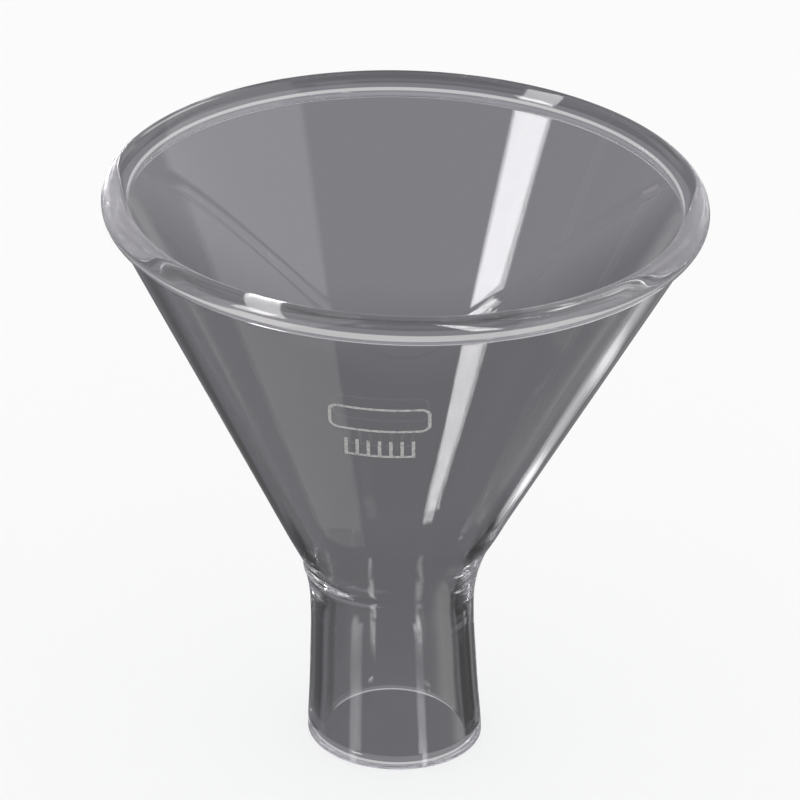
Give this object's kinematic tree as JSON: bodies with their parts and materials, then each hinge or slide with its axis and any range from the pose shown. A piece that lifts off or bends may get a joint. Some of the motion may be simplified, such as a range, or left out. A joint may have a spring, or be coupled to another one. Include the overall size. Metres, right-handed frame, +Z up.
{
  "type": "powder funnel",
  "caption": "Clear glass powder funnel with a beaded rim, a conical bowl, a drawn neck, a short wide stem that stands upright, and white enamel marks on the front.",
  "frame": {"origin": "centre of the stem's flat lower end, on the funnel's axis", "axes": "+Z up along the funnel's axis, from the stem end to the rim; the enamel marks face -Y"},
  "size_m": [0.08, 0.08, 0.0815],
  "materials": {
    "clear_glass": "clear borosilicate glass, fire-polished, with faint drawing lines",
    "white_enamel": "opaque white enamel fired on to the glass, satin, slightly uneven"
  },
  "bodies": {
    "root": {"rim_bead": "clear_glass", "bowl": "clear_glass", "neck": "clear_glass", "stem_tube": "clear_glass", "enamel_panel": "white_enamel", "enamel_ticks": "white_enamel"}
  },
  "joints": []
}
